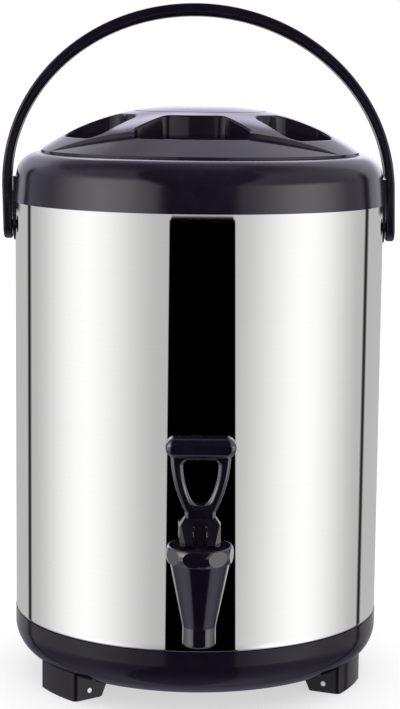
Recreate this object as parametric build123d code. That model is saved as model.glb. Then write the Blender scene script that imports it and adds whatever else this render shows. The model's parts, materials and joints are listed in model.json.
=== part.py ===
from build123d import *
import os
from math import cos, radians, sin, sqrt, tan

# All sizes are in millimetres, the barrel stands upright and its tap faces -Y.

# Barrel: steel shell, steel pot and the foam between them
SHELL_DIA = 260.0
SHELL_H = 291.7
SHEET_T = 0.8
FOAM_T = 20.0
POT_CORNER_R = 14.0
POT_FLANGE_W = 4.0

# Base tray under the shell
BASE_H = 48.7
BASE_GAP = 15.0
BASE_CORNER_R = 23.5
BASE_PROUD = 0.3
BASE_WALL = 3.0
SPIGOT_H = 8.0

# Feet, each held to a lug of the tray by a cross pin
FOOT_COUNT = 3
FEET_TURN = 6.1
FOOT_W = 43.5
FOOT_DEPTH = 24.0
FOOT_INSET = 8.5
FOOT_SLOPE = 7.0
FOOT_CORNER_R = 4.0
FOOT_EDGE = 0.8
FOOT_PIN_DIA = 3.5
FOOT_PIN_INSET = 14.0
FOOT_PIN_Z = 6.6
FOOT_PIN_PROUD = 0.3
FOOT_LUG_T = 8.0
FOOT_LUG_W = 14.0
FOOT_LUG_GAP = 1.6

# Moulded shoulder between the shell and the lid
SHOULDER_PROUD = 1.0
SHOULDER_DRAFT = 1.5
SHOULDER_STRAIGHT = 17.1
SHOULDER_ROUND = 17.0
SHOULDER_WALL = 3.2
LIP_EDGE_R = 0.8
SKIRT_LAP = 6.0
SEAT_DEPTH = 9.0
SEAT_W = 13.5
BRIDGE_T = 4.0
NECK_T = 7.0
NECK_H = 30.0

# Bail handle, its ears and pivot pins
PIVOT_DROP = 17.4
EAR_PROUD = 1.2
EAR_HALF_W = 11.0
EAR_BOSS_R = 5.3
EAR_BOSS_T = 1.0
BAIL_W = 20.0
BAIL_SIDE_T = 6.2
BAIL_CROWN_T = 8.8
BAIL_SPRING_Z = 27.0
BAIL_RISE = 128.5
BAIL_EDGE_R = 1.8
PIVOT_PIN_DIA = 7.0
PIVOT_HEAD_R = 6.0
PIVOT_HEAD_T = 1.8
PIVOT_FOOT_R = 8.0
PIVOT_FOOT_T = 2.0

# Lid: moulded cover, plug and gasket
LID_GAP = 0.5
LID_EDGE_H = 1.8
LID_RISE = 30.2
LID_HUB_R = 26.0
LID_BULGE = 6.3
LID_WALL = 2.6
LID_SET = 5.1
HUB_LINE_R = 46.0
HUB_LINE_W = 1.2
HUB_LINE_D = 0.5
POCKET_IN_R = 56.0
FRONT_POCKET_R = 87.5
SIDE_POCKET_R = 95.5
SLANT_RIB_W = 19.9
SLANT_RIB_SET = 13.7
SIDE_RIB_W = 24.0
FRONT_CORNER_R = 6.0
SIDE_CORNER_R = 11.0
POCKET_FLOOR_UP = 3.0
POCKET_FLOOR_R = 3.0
POCKET_RIM_R = 1.2
APRON_SLOPE = 24.5
APRON_DEPTH = 31.5
APRON_R = 188.0
GASKET_T = 3.0
GASKET_W = 11.0
FLANGE_T = 3.0
PLUG_H = 23.0
PLUG_CORNER_R = 4.0
PLUG_GAP = 0.6
LID_LUG_COUNT = 4
LID_LUG_SPAN = 20.0
LID_LUG_TALL = 5.0
LID_LUG_OUT = 3.6
LID_LUG_DROP = 11.0
LID_LUG_PLAY = 2.0
LID_TURN = 30.0

# Tap, measured from the crossing of its shank and its upright axis
TAP_H = 51.3
TAP_REACH = 35.0
SPOUT_R = 10.8
SPOUT_BORE_R = 8.3
SPOUT_LOW = -35.1
SPOUT_EDGE_R = 1.4
CONE_LOW = -22.3
CONE_TOP = 20.2
CONE_TOP_R = 19.4
BOWL_R = 15.0
BOWL_CONE_TOP = 10.0
SEAT_Z = -14.0
SEAT_R = 9.5
SEAT_BORE_R = 6.5
SEAT_T = 2.5
THREAD_R = 17.8
THREAD_H = 5.5
SHANK_R = 9.5
SHANK_BORE_R = 6.5
SHANK_PAST_NUT = 3.0
TAP_FLANGE_R = 16.0
TAP_FLANGE_T = 4.0
WASHER_T = 4.0
WASHER_R = 16.0
INNER_WASHER_R = 15.0
SLEEVE_R = 13.0
NUT_FLATS = 30.0
NUT_T = 9.0
BONNET_R = 22.0
BONNET_END_R = 20.6
BONNET_TOP = 31.2
BONNET_TOP_EDGE = 1.6
BONNET_LOW_EDGE = 0.5
BONNET_ROOF_T = 4.0
BONNET_FACETS = 8
BONNET_FACET_CUT = 1.15
BONNET_TURN = 33.0
STEM_R = 4.0
STEM_LOW = -10.0
STEM_DISC_R = 11.0
STEM_DISC_Z = 4.0
STEM_DISC_T = 2.5
SPRING_R = 10.2
SPRING_WIRE = 1.6
SEAL_W = 2.2
SEAL_H = 2.0
CUP_R = 8.6
CUP_TOP_R = 9.2
CUP_TOP = -6.0

# Loop lever and its cam foot
LEVER_PIN_UP = 10.0
LEVER_PIN_DIA = 4.0
LEVER_TURN = 35.0
CAM_RATE = 6.5
CAM_GAP = 0.15
CHEEK_W = 26.2
CHEEK_BACK = 7.0
CHEEK_FRONT_W = 18.8
CHEEK_SHOULDER = 3.5
LEVER_NECK_W = 19.6
LEVER_NECK_UP = 12.0
LEVER_T = 9.0
LEVER_EDGE_R = 2.4
LEVER_LOOP_W = 38.6
LEVER_WAIST_W = 34.0
LEVER_WAIST_UP = 31.5
LOOP_TOP_UP = 45.4
LOOP_TOP_W = 22.8
LOOP_WAIST_W = 20.2
LOOP_BEND_UP = 20.8
LOOP_BEND_W = 13.0
LOOP_LOW_UP = 16.4
LOOP_CORNER_R = 3.5
BAR_W = 45.5
BAR_H = 13.3
BAR_T = 15.0
BAR_UP = 53.8
BAR_EDGE_R = 4.0
SLOT_W = 9.5
SLOT_UP = 5.2
SLOT_ROOF_R = 5.6

# Clearances
SLIP = 0.05
RUN = 0.08
LOOSE = 0.3

# Levels and radii that follow from the sizes above
shell_r = SHELL_DIA / 2
shell_in_r = shell_r - SHEET_T
pot_out_r = shell_in_r - FOAM_T
pot_in_r = pot_out_r - SHEET_T
shoulder_z = BASE_H + SHELL_H
shell_top = shoulder_z + SKIRT_LAP
round_z = shoulder_z + SHOULDER_STRAIGHT
lip_z = round_z + SHOULDER_ROUND
seat_z = lip_z - SEAT_DEPTH
pot_top = seat_z - BRIDGE_T
pot_under = BASE_H + FOAM_T
collar_r = shell_r + SHOULDER_PROUD
side_top_r = collar_r - SHOULDER_DRAFT
skin_r = side_top_r - SHOULDER_WALL
inner_round = SHOULDER_ROUND - SHOULDER_WALL
lip_r = side_top_r - SHOULDER_ROUND
base_r = shell_r + BASE_PROUD
tray_in_r = base_r - BASE_WALL
foot_r = shell_r - FOOT_INSET
foot_pin_r = foot_r - FOOT_PIN_INSET
pivot_z = shoulder_z - PIVOT_DROP
ear_x = shell_r + EAR_PROUD
limb_in = ear_x + EAR_BOSS_T
limb_out = limb_in + BAIL_SIDE_T
arch_z = pivot_z + BAIL_SPRING_Z
lid_r = lip_r - LID_GAP
lid_edge_z = lip_z + LID_EDGE_H
lid_top = lid_edge_z + LID_RISE
neck_r = lid_r - SEAT_W
neck_out_r = neck_r + NECK_T
flange_z = seat_z + GASKET_T
rim_low = flange_z + FLANGE_T
plug_r = neck_r - PLUG_GAP
plug_z = seat_z - PLUG_H
lid_slope = Vector(lid_r - LID_HUB_R, -LID_RISE)
dome_r = (lid_slope.length**2 / 4 + LID_BULGE**2) / (2 * LID_BULGE)
pocket_floor = lid_edge_z + POCKET_FLOOR_UP
tap_y = -(shell_r + TAP_REACH)
tap_z = BASE_H + TAP_H
lever_pin_z = BONNET_TOP + LEVER_PIN_UP
cam_h = LEVER_PIN_UP - CAM_GAP

# The whole is set so that the middle of its box on the floor is the origin
front_y = tap_y - BONNET_R
barrel_y = -(front_y + collar_r) / 2


def arc_to(start, end, centre, radius):
    """Arc from start to end round a centre, the short way."""
    mid = Vector(*start) + Vector(*end) - Vector(*centre) * 2
    mid = Vector(*centre) + mid.normalized() * radius
    return ThreePointArc(start, mid, end)


def turned(*lines):
    """Solid of revolution about Z from an outline of radius and height."""
    return revolve(Plane.XZ * make_face(Curve() + list(lines)), Axis.Z)


def turned_points(*points):
    """Solid of revolution from a straight-sided outline."""
    return turned(Polyline(*points, close=True))


def tube(outer_r, inner_r, low, high):
    ring = Circle(outer_r) - Circle(inner_r)
    return Pos(0, 0, low) * extrude(ring, high - low)


def disc(radius, low, high):
    return Pos(0, 0, low) * extrude(Circle(radius), high - low)


def rod_x(radius, start, end, z=0):
    """Round bar along X."""
    return Pos(start, 0, z) * Rot(0, 90, 0) * extrude(Circle(radius), end - start)


def rod_y(radius, start, end, z=0):
    """Round bar along Y."""
    return Pos(0, start, z) * Rot(-90, 0, 0) * extrude(Circle(radius), end - start)


def bowl(radius, under, corner, top):
    """Filled bowl with a rounded lower corner."""
    centre = (radius - corner, under + corner)
    return turned(
        Line((0, under), (radius - corner, under)),
        arc_to((radius - corner, under), (radius, under + corner), centre, corner),
        Polyline((radius, under + corner), (radius, top), (0, top), (0, under)),
    )


def both_sides(piece):
    """A piece and its mirror image across the YZ plane."""
    return piece + mirror(piece, Plane.YZ)


# Barrel


def shank_hole(radius):
    """Passage of the tap's shank through the front of the barrel."""
    return Pos(0, 0, tap_z) * rod_y(radius, tap_y, 0)


def pivot_holes(radius):
    """Holes for the handle's pivot pins, right through from side to side."""
    return rod_x(radius, -limb_out, limb_out, pivot_z)


def outer_shell():
    shell = tube(shell_r, shell_in_r, BASE_H, shell_top)
    return shell - shank_hole(SHANK_R + LOOSE) - pivot_holes(PIVOT_PIN_DIA / 2)


def inner_pot():
    cup = bowl(pot_out_r, pot_under, POT_CORNER_R, pot_top)
    cup += disc(pot_out_r + POT_FLANGE_W, pot_top - SHEET_T, pot_top)
    cup -= bowl(pot_in_r, pot_under + SHEET_T, POT_CORNER_R - SHEET_T, pot_top)
    return cup - shank_hole(SHANK_R + LOOSE)


def foam_floor():
    """Foam disc under the pot, stepped to sit inside the tray's spigot."""
    return disc(tray_in_r, BASE_H, BASE_H + SPIGOT_H) + disc(shell_in_r, BASE_H + SPIGOT_H, pot_under)


def foam_jacket():
    """Foam sleeve between shell and pot, up to under the shoulder."""
    reach = sqrt(inner_round**2 - (pot_top - round_z) ** 2)
    jacket = tube(shell_in_r, pot_out_r, pot_under, shell_top)
    jacket += tube(lip_r + reach - LOOSE, pot_out_r, shell_top, pot_top - SHEET_T)
    jacket -= shank_hole(SLEEVE_R)
    depth = PIVOT_FOOT_T + LOOSE
    pocket = rod_x(PIVOT_FOOT_R + LOOSE, shell_in_r - depth, shell_r, pivot_z)
    return jacket - both_sides(pocket)


# Base tray and feet


def tray_outside():
    return bowl(base_r, BASE_GAP, BASE_CORNER_R, BASE_H)


def at_foot(index):
    """Place that turns the +X direction to the direction of one foot."""
    return Rot(0, 0, -90 + FEET_TURN + 180 + index * 360 / FOOT_COUNT)


def foot_lug(play):
    """Lug under the tray that a foot slips over."""
    low = FOOT_LUG_GAP - play
    plate = Rectangle(FOOT_LUG_W + 2 * play, FOOT_LUG_T + 2 * play)
    return Pos(foot_pin_r, 0, low) * extrude(plate, BASE_H - low)


def foot_pin_bar(length):
    bar = extrude(Circle(FOOT_PIN_DIA / 2), length / 2, both=True)
    return Pos(foot_pin_r, 0, FOOT_PIN_Z) * Rot(90, 0, 0) * bar


def base_tray():
    tray = tray_outside()
    spigot_r = shell_in_r - SLIP
    tray += disc(spigot_r, BASE_H, BASE_H + SPIGOT_H)
    pin = foot_pin_bar(FOOT_W)
    for index in range(FOOT_COUNT):
        tray += at_foot(index) * (foot_lug(0) - pin)
    inner_corner = BASE_CORNER_R - BASE_WALL
    tray -= bowl(tray_in_r, BASE_GAP + BASE_WALL, inner_corner, BASE_H + SPIGOT_H)
    return tray


def foot():
    """Foot block along +X, cut to the tray's underside."""
    inner_r = foot_r - FOOT_DEPTH - FOOT_SLOPE
    plan = Pos(inner_r, 0) * Rectangle(
        foot_r, FOOT_W, align=(Align.MIN, Align.CENTER)
    )
    plan &= Circle(foot_r)
    outer = plan.vertices().sort_by(Axis.X)[-2:]
    plan = fillet(outer, FOOT_CORNER_R)
    block = extrude(plan, BASE_H)
    slope = Polyline((inner_r, 0), (inner_r + FOOT_SLOPE, 0), (inner_r, BASE_GAP), close=True)
    block -= extrude(Plane.XZ * make_face(slope), FOOT_W, both=True)
    block = chamfer(block.edges().group_by(Axis.Z)[0], FOOT_EDGE)
    return block - tray_outside() - foot_lug(LOOSE) - foot_pin_bar(FOOT_W)


def foot_pins():
    bar = foot_pin_bar(FOOT_W + 2 * FOOT_PIN_PROUD)
    return Compound([at_foot(index) * bar for index in range(FOOT_COUNT)])


# Shoulder ring with the handle's ears and the bayonet grooves


def ear():
    """Ear under the +X side of the shoulder, with the boss for the handle."""
    low = Pos(0, 0, pivot_z) * Rot(0, 90, 0) * extrude(Circle(EAR_HALF_W), ear_x)
    plate = Pos(ear_x / 2, 0, (pivot_z + round_z) / 2)
    plate *= Box(ear_x, 2 * EAR_HALF_W, round_z - pivot_z)
    boss = rod_x(EAR_BOSS_R, shell_r - SHEET_T, limb_in - LOOSE, pivot_z)
    return low + plate + boss


def sector(radius, half_angle):
    """Wedge of a disc about +X."""
    reach = 2 * radius
    side = reach * tan(radians(half_angle))
    wedge = make_face(Polyline((0, 0), (reach, -side), (reach, side), close=True))
    return Circle(radius) & wedge


def bayonet_grooves():
    """Entry slots and turning grooves for the lugs of the lid."""
    low = seat_z - LID_LUG_DROP - LID_LUG_TALL - LOOSE
    high = seat_z - LID_LUG_DROP + LOOSE
    reach = plug_r + LID_LUG_OUT + LOOSE
    half = LID_LUG_SPAN / 2 + LID_LUG_PLAY
    entry = Pos(0, 0, low) * extrude(sector(reach, half), seat_z - low)
    run = Pos(0, 0, low) * extrude(sector(reach, half + LID_TURN / 2), high - low)
    groove = entry + Rot(0, 0, LID_TURN / 2) * run
    step = 360 / LID_LUG_COUNT
    return [Rot(0, 0, (index + 0.5) * step) * groove for index in range(LID_LUG_COUNT)]


def shoulder_ring():
    wall_r = lip_r + SHOULDER_WALL
    wall_top = round_z + sqrt(inner_round**2 - SHOULDER_WALL**2)
    lap_r = shell_r + SLIP
    neck_low = seat_z - NECK_H
    centre = (lip_r, round_z)
    ring = turned(
        Line((collar_r, shoulder_z), (side_top_r, round_z)),
        arc_to((side_top_r, round_z), (lip_r, lip_z), centre, SHOULDER_ROUND),
        Polyline((lip_r, lip_z), (lip_r, seat_z), (neck_r, seat_z), (neck_r, neck_low)),
        Polyline((neck_r, neck_low), (neck_out_r, neck_low), (neck_out_r, pot_top)),
        Polyline((neck_out_r, pot_top), (wall_r, pot_top), (wall_r, wall_top)),
        arc_to((wall_r, wall_top), (skin_r, round_z), centre, inner_round),
        Polyline((skin_r, round_z), (skin_r, shell_top), (lap_r, shell_top)),
        Polyline((lap_r, shell_top), (lap_r, shoulder_z), (collar_r, shoulder_z)),
    )
    lip = ring.edges().filter_by(GeomType.CIRCLE).sort_by(Axis.Z)[-1:]
    ring = fillet(lip, LIP_EDGE_R)
    outside = disc(limb_in, 0, lip_z) - disc(skin_r, 0, lip_z) - disc(lap_r, 0, shell_top)
    ring += both_sides(ear()) & outside
    for groove in bayonet_grooves():
        ring -= groove
    return ring - pivot_holes(PIVOT_PIN_DIA / 2)


# Bail handle


def half_ellipse(x_radius, z_radius):
    """Filled arch with straight legs below it, down past the pivot."""
    legs = Pos(0, -arch_z / 2) * Rectangle(2 * x_radius, arch_z)
    return Pos(0, arch_z) * (Ellipse(x_radius, z_radius) + legs)


def bail_handle():
    strap = half_ellipse(limb_out, BAIL_RISE)
    strap -= half_ellipse(limb_in, BAIL_RISE - BAIL_CROWN_T)
    band = extrude(Plane.XZ * strap, BAIL_W / 2, both=True)
    end = Pos(0, 0, pivot_z) * Rot(0, 90, 0) * extrude(Circle(BAIL_W / 2), limb_out, both=True)
    above = Pos(0, 0, pivot_z + BAIL_RISE) * Box(2 * limb_out, BAIL_W, 2 * BAIL_RISE)
    band &= end + above
    sides = band.faces().filter_by(Axis.Y)
    band = fillet(sides.edges(), BAIL_EDGE_R)
    band -= pivot_holes(PIVOT_PIN_DIA / 2 + RUN)
    recess = rod_x(PIVOT_HEAD_R + LOOSE, limb_out - PIVOT_HEAD_T - LOOSE, limb_out, pivot_z)
    return band - both_sides(recess)


def pivot_pin(side):
    """Headed stud through the shell, the ear and one end of the handle."""
    foot_in = shell_in_r - PIVOT_FOOT_T
    pin = rod_x(PIVOT_PIN_DIA / 2, foot_in, limb_out, pivot_z)
    pin += rod_x(PIVOT_HEAD_R, limb_out - PIVOT_HEAD_T, limb_out, pivot_z)
    pin += rod_x(PIVOT_FOOT_R, foot_in, shell_r, pivot_z) & disc(shell_in_r, 0, shell_top)
    return pin if side > 0 else mirror(pin, Plane.YZ)


# Lid


def dome(wall):
    """Filled dome of the lid, or the hollow that leaves a wall under it."""
    across = lid_slope.normalized()
    middle = Vector(LID_HUB_R, lid_top) + lid_slope / 2
    centre = middle + Vector(across.Y, -across.X) * (dome_r - LID_BULGE)
    radius = dome_r - wall
    rim_r = lid_r - wall
    rim_z = centre.Y + sqrt(radius**2 - (rim_r - centre.X) ** 2)
    crown = centre.Y + sqrt(radius**2 - (LID_HUB_R - centre.X) ** 2)
    return turned(
        Polyline((0, crown), (0, rim_low), (rim_r, rim_low), (rim_r, rim_z)),
        arc_to((rim_r, rim_z), (LID_HUB_R, crown), (centre.X, centre.Y), radius),
        Line((LID_HUB_R, crown), (0, crown)),
    )


def apron_cuts(wall):
    """Lowered fields at the front and back edge, deepest beside the pockets."""
    fall = tan(radians(APRON_SLOPE))
    start_r = LID_HUB_R
    over = lid_top + LID_RISE
    above = turned_points(
        (lid_r + LID_RISE, lid_edge_z - wall - LID_RISE * fall),
        (lid_r + LID_RISE, over),
        (start_r, over),
        (start_r, lid_edge_z - wall + (lid_r - start_r) * fall),
    )
    centre_y = APRON_R - (lid_r - APRON_DEPTH)
    kept = Pos(0, centre_y, 0) * disc(APRON_R - wall, 0, over)
    front = above - kept
    front &= Pos(0, -over, 0) * Box(4 * over, 2 * over, 4 * over)
    return front + mirror(front, Plane.XZ)


def pocket_plans():
    """Plans of the front pocket and of the one beside it, between the ribs."""
    reach = 2 * SIDE_POCKET_R
    tip = sqrt(2) * (SLANT_RIB_SET + SLANT_RIB_W / 2)
    wedge = make_face(Polyline((0, -tip), (reach, -tip - reach), (-reach, -tip - reach), close=True))
    front = (Circle(FRONT_POCKET_R) - Circle(POCKET_IN_R)) & wedge
    slant = sqrt(2) * (SLANT_RIB_SET - SLANT_RIB_W / 2)
    low = -SIDE_RIB_W / 2
    wedge = make_face(Polyline((-slant - low, low), (reach, low), (reach, -slant - reach), close=True))
    side = (Circle(SIDE_POCKET_R) - Circle(POCKET_IN_R)) & wedge
    return [fillet(front.vertices(), FRONT_CORNER_R), fillet(side.vertices(), SIDE_CORNER_R)]


def pockets(wall):
    """Six finger pockets, or the cups that leave a wall round them."""
    floor = pocket_floor - wall
    cups = []
    for plan in pocket_plans():
        if wall:
            plan = offset(plan, wall)
        cup = Pos(0, 0, floor) * extrude(plan, lid_top + LID_RISE - floor)
        cups.append(fillet(cup.edges().group_by(Axis.Z)[0], POCKET_FLOOR_R + wall))
    front, side = cups
    cups = [front, side, mirror(side, Plane.YZ)]
    return cups + [mirror(cup, Plane.XZ) for cup in cups]


def dome_face(cover):
    return cover.faces().filter_by(GeomType.REVOLUTION).sort_by(SortBy.AREA)[-1]


def front_rims(cover):
    """Upper edges of the front and back pockets, on the dome and on the lowered fields."""
    fields = cover.faces().filter_by(GeomType.CONE).sort_by(SortBy.AREA)[-2:]
    rims = []
    for edge in dome_face(cover).outer_wire().edges() + fields.edges():
        x, y = edge.center().X, edge.center().Y
        if abs(y) > SIDE_RIB_W and POCKET_IN_R - SLIP < sqrt(x**2 + y**2) < FRONT_POCKET_R + SLIP:
            rims.append(edge)
    return rims


def lid_cover():
    hollow = dome(LID_WALL) - apron_cuts(LID_WALL)
    for cup in pockets(LID_WALL):
        hollow -= cup
    cover = dome(0) - apron_cuts(0)
    for pocket in pockets(0):
        cover -= pocket
    side_rims = [edge for wire in dome_face(cover).inner_wires() for edge in wire.edges()]
    cover = fillet(side_rims, POCKET_RIM_R)
    open_rims = front_rims(cover)
    if open_rims:  # on a wider lid these pockets stay clear of the apron, and are rounded above
        cover = fillet(open_rims, POCKET_RIM_R)
    line = tube(HUB_LINE_R + HUB_LINE_W / 2, HUB_LINE_R - HUB_LINE_W / 2, lid_top - LID_RISE, lid_top)
    cover -= line - dome(HUB_LINE_D)
    return Rot(0, 0, -LID_SET) * (cover - hollow)


def lid_liner():
    inner_r = plug_r - LID_WALL
    corner = PLUG_CORNER_R
    centre = (plug_r - corner, plug_z + corner)
    liner = turned(
        Line((0, plug_z), (plug_r - corner, plug_z)),
        arc_to((plug_r - corner, plug_z), (plug_r, plug_z + corner), centre, corner),
        Polyline((plug_r, plug_z + corner), (plug_r, flange_z), (lid_r, flange_z)),
        Polyline((lid_r, flange_z), (lid_r, rim_low), (inner_r, rim_low)),
        Polyline((inner_r, rim_low), (inner_r, plug_z + LID_WALL), (0, plug_z + LID_WALL)),
        Line((0, plug_z + LID_WALL), (0, plug_z)),
    )
    lug_low = seat_z - LID_LUG_DROP - LID_LUG_TALL
    wedge = sector(plug_r + LID_LUG_OUT, LID_LUG_SPAN / 2) - Circle(plug_r - LID_WALL / 2)
    lug = Pos(0, 0, lug_low) * extrude(wedge, LID_LUG_TALL)
    step = 360 / LID_LUG_COUNT
    for index in range(LID_LUG_COUNT):
        liner += Rot(0, 0, (index + 0.5) * step) * lug
    return liner


def lid_foam():
    return disc(plug_r - LID_WALL, plug_z + LID_WALL, pocket_floor - LID_WALL)


def lid_gasket():
    inner_r = neck_r + SLIP
    return tube(inner_r + GASKET_W, inner_r, seat_z + SLIP, flange_z - SLIP)


# Tap, built about its own upright axis


def at_tap(piece):
    return Pos(0, tap_y, tap_z) * piece


def barrel_inside(radius):
    """The barrel's round inside, as seen from the tap."""
    return Pos(0, -tap_y, -tap_z) * disc(radius, 0, shell_top)


def shank_end():
    return TAP_REACH + shell_r - (pot_in_r - WASHER_T - NUT_T - SHANK_PAST_NUT)


def tap_body():
    thread_top = CONE_TOP + THREAD_H
    body = turned_points(
        (0, SPOUT_LOW),
        (SPOUT_R, SPOUT_LOW),
        (SPOUT_R, CONE_LOW),
        (CONE_TOP_R, CONE_TOP),
        (THREAD_R, CONE_TOP),
        (THREAD_R, thread_top),
        (0, thread_top),
    )
    mouth = body.edges().filter_by(GeomType.CIRCLE).sort_by(Axis.Z)[:1]
    body = fillet(mouth, SPOUT_EDGE_R)
    flange_back = TAP_REACH - WASHER_T
    body += rod_y(SHANK_R, 0, shank_end())
    body += rod_y(TAP_FLANGE_R, flange_back - TAP_FLANGE_T, flange_back)
    body -= turned_points(
        (0, SPOUT_LOW),
        (SPOUT_BORE_R, SPOUT_LOW),
        (SPOUT_BORE_R, SEAT_Z - SEAT_T),
        (SEAT_BORE_R, SEAT_Z - SEAT_T),
        (SEAT_BORE_R, SEAT_Z),
        (SEAT_R, SEAT_Z),
        (BOWL_R, BOWL_CONE_TOP),
        (BOWL_R, thread_top),
        (0, thread_top),
    )
    return at_tap(body - rod_y(SHANK_BORE_R, 0, shank_end()))


def tap_bonnet():
    roof_z = BONNET_TOP - BONNET_ROOF_T
    seal_z = roof_z + (BONNET_ROOF_T - SEAL_H) / 2
    middle = (CONE_TOP + BONNET_TOP) / 2
    low, high = (BONNET_END_R, CONE_TOP), (BONNET_END_R, BONNET_TOP)
    cap = turned(
        Line((0, CONE_TOP), low),
        ThreePointArc(low, (BONNET_R, middle), high),
        Polyline(high, (0, BONNET_TOP), (0, CONE_TOP)),
    )
    rims = cap.edges().filter_by(GeomType.CIRCLE).sort_by(Axis.Z)
    cap = fillet(rims[-1:], BONNET_TOP_EDGE)
    rims = cap.edges().filter_by(GeomType.CIRCLE).sort_by(Axis.Z)
    cap = fillet(rims[:1], BONNET_LOW_EDGE)
    slab = Pos(2 * BONNET_R - BONNET_FACET_CUT, 0, middle)
    slab *= Box(2 * BONNET_R, 2 * BONNET_R, 2 * BONNET_R)
    for index in range(BONNET_FACETS):
        cap -= Rot(0, 0, BONNET_TURN - 90 + index * 360 / BONNET_FACETS) * slab
    cap -= disc(THREAD_R + SLIP, CONE_TOP, CONE_TOP + THREAD_H + SLIP)
    cap -= disc(BOWL_R, CONE_TOP, roof_z)
    cap -= disc(STEM_R + RUN, CONE_TOP, BONNET_TOP)
    cap -= disc(STEM_R + RUN + SEAL_W, seal_z, seal_z + SEAL_H)
    return at_tap(cap)


def stem_seal():
    seal_z = BONNET_TOP - (BONNET_ROOF_T + SEAL_H) / 2
    return at_tap(tube(STEM_R + RUN + SEAL_W, STEM_R + RUN, seal_z, seal_z + SEAL_H))


def tap_stem():
    stem = disc(STEM_R, STEM_LOW, lever_pin_z) + Pos(0, 0, lever_pin_z) * Sphere(STEM_R)
    stem += disc(STEM_DISC_R, STEM_DISC_Z, STEM_DISC_Z + STEM_DISC_T)
    return at_tap(stem - rod_x(LEVER_PIN_DIA / 2, -STEM_R, STEM_R, lever_pin_z))


def seat_cup():
    foot_z = SEAT_Z + SLIP
    cup = turned_points((0, foot_z), (CUP_R, foot_z), (CUP_TOP_R, CUP_TOP), (0, CUP_TOP))
    return at_tap(cup - disc(STEM_R, STEM_LOW, CUP_TOP))


def tap_spring():
    low = STEM_DISC_Z + STEM_DISC_T
    return at_tap(tube(SPRING_R, SPRING_R - SPRING_WIRE, low, BONNET_TOP - BONNET_ROOF_T))


def outer_washer():
    back = TAP_REACH + shell_r - pot_out_r
    ring = rod_y(WASHER_R, TAP_REACH - WASHER_T, back) - rod_y(SHANK_R, 0, back)
    return at_tap(ring - barrel_inside(shell_r))


def shank_sleeve():
    back = TAP_REACH + shell_r - pot_in_r
    spacer = rod_y(SLEEVE_R, 0, back) - rod_y(SHANK_R + LOOSE, 0, back)
    return at_tap((spacer & barrel_inside(shell_in_r)) - barrel_inside(pot_out_r))


def inner_washer():
    front = TAP_REACH + shell_r - pot_in_r
    ring = rod_y(INNER_WASHER_R, front - WASHER_T, front + WASHER_T)
    ring -= rod_y(SHANK_R, 0, front + WASHER_T)
    return at_tap(ring & barrel_inside(pot_in_r))


def lock_nut():
    front = TAP_REACH + shell_r - pot_in_r + WASHER_T
    hexagon = RegularPolygon(NUT_FLATS / 2, 6, major_radius=False)
    nut = extrude(hexagon - Circle(SHANK_R), NUT_T)
    return at_tap(Pos(0, front, 0) * Rot(-90, 0, 0) * nut)


# Loop lever


def cam_point(turn):
    """Point of the cam that meets the bonnet when the lever has this turn."""
    angle = radians(turn)
    reach = cam_h + CAM_RATE * angle
    y = -reach * sin(angle) - CAM_RATE * cos(angle)
    z = -reach * cos(angle) + CAM_RATE * sin(angle)
    return (y, z)


def lever_cheeks():
    """Cam foot of the lever: three outlines, one for each view, cut together."""
    toe_y = cam_point(LEVER_TURN)[0]
    half_t = LEVER_T / 2
    top_y = half_t - LEVER_EDGE_R
    side = [
        Line((CHEEK_BACK, -cam_h), cam_point(0)),
        ThreePointArc(cam_point(0), cam_point(LEVER_TURN / 2), cam_point(LEVER_TURN)),
        Polyline(cam_point(LEVER_TURN), (-top_y, LEVER_NECK_UP), (top_y, LEVER_NECK_UP)),
        Polyline((top_y, LEVER_NECK_UP), (CHEEK_BACK, 0), (CHEEK_BACK, -cam_h)),
    ]
    half_w = CHEEK_W / 2
    top_x = LEVER_NECK_W / 2 - LEVER_EDGE_R
    front = Polyline(
        (-half_w, -cam_h),
        (half_w, -cam_h),
        (half_w, CHEEK_SHOULDER),
        (top_x, LEVER_NECK_UP),
        (-top_x, LEVER_NECK_UP),
        (-half_w, CHEEK_SHOULDER),
        close=True,
    )
    nose = CHEEK_FRONT_W / 2
    plan = Polyline(
        (-half_w, CHEEK_BACK),
        (-half_w, -half_t),
        (-nose, toe_y),
        (nose, toe_y),
        (half_w, -half_t),
        (half_w, CHEEK_BACK),
        close=True,
    )
    foot = extrude(Plane.YZ * make_face(Curve() + side), half_w, both=True)
    foot &= extrude(Plane.XZ * make_face(front), CHEEK_W, both=True)
    return foot & extrude(make_face(plan), CHEEK_W, both=True)


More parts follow.
